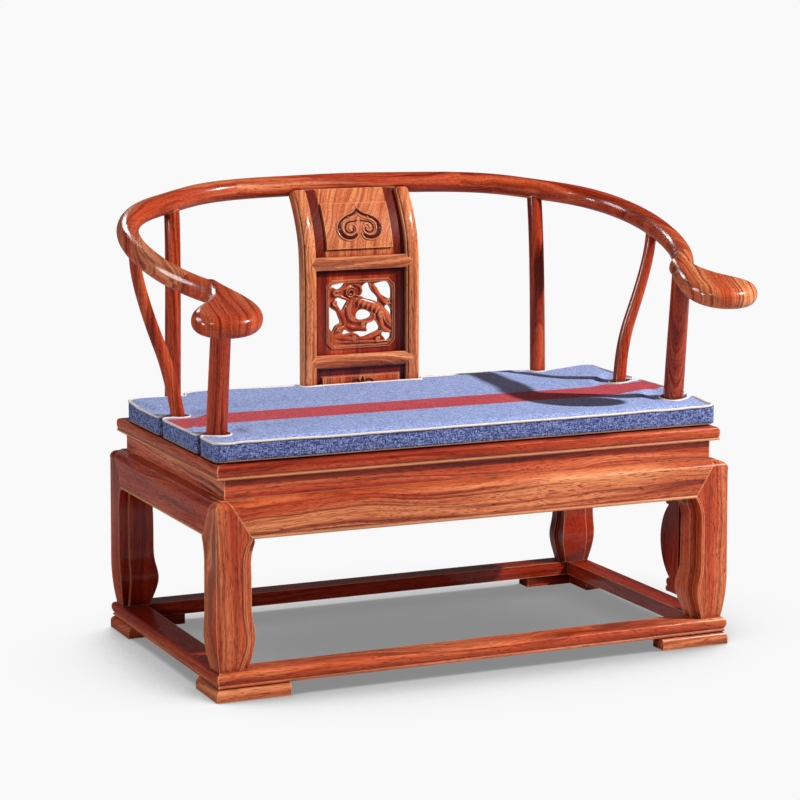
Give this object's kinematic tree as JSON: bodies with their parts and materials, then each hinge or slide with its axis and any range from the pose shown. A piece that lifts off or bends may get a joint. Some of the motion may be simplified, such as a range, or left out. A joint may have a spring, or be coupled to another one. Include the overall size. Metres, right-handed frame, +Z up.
{
  "type": "horseshoe back settee",
  "caption": "Wide waisted rosewood horseshoe-back seat on hoofed legs and a floor frame, with a pierced splat and a loose notched cushion.",
  "frame": {"origin": "centre of the footprint of the bounding box, at floor level", "axes": "+Z up, +X to the sitter's left, -Y towards the front of the seat"},
  "size_m": [1.2818, 0.828, 0.9948],
  "materials": {
    "rosewood": "gloss lacquer",
    "splat_wood": "gloss lacquer",
    "cushion_fabric": "woven"
  },
  "bodies": {
    "frame": {"apron_front": "rosewood", "apron_left": "rosewood", "apron_rear": "rosewood", "apron_right": "rosewood", "floor_rail_front": "rosewood", "floor_rail_left": "rosewood", "floor_rail_rear": "rosewood", "floor_rail_right": "rosewood", "foot_front_left": "rosewood", "foot_front_right": "rosewood", "foot_rear_left": "rosewood", "foot_rear_right": "rosewood", "front_post_left": "rosewood", "front_post_right": "rosewood", "hand_left": "rosewood", "hand_right": "rosewood", "leg_bracket_left": "rosewood", "leg_bracket_right": "rosewood", "leg_front_left": "rosewood", "leg_front_right": "rosewood", "leg_rear_left": "rosewood", "leg_rear_right": "rosewood", "rail_back": "rosewood", "rail_corner_left": "rosewood", "rail_corner_right": "rosewood", "rail_scarf_pins": "rosewood", "rear_post_left": "rosewood", "rear_post_right": "rosewood", "seat_batten_left": "rosewood", "seat_batten_right": "rosewood", "seat_panel": "rosewood", "seat_rail_front": "rosewood", "seat_rail_left": "rosewood", "seat_rail_rear": "rosewood", "seat_rail_right": "rosewood", "side_post_left": "rosewood", "side_post_right": "rosewood", "splat_panel_bottom": "splat_wood", "splat_panel_middle": "splat_wood", "splat_panel_top": "splat_wood", "splat_rail_lower": "splat_wood", "splat_rail_upper": "splat_wood", "splat_stile_left": "splat_wood", "splat_stile_right": "splat_wood", "waist_front": "rosewood", "waist_left": "rosewood", "waist_rear": "rosewood", "waist_right": "rosewood"},
    "cushion": {"cushion": "cushion_fabric"}
  },
  "joints": [
    {"name": "cushion_lift", "type": "slide", "parent": "frame", "child": "cushion", "axis": [0, 0, 1], "range_m": [0, 0.04]}
  ]
}
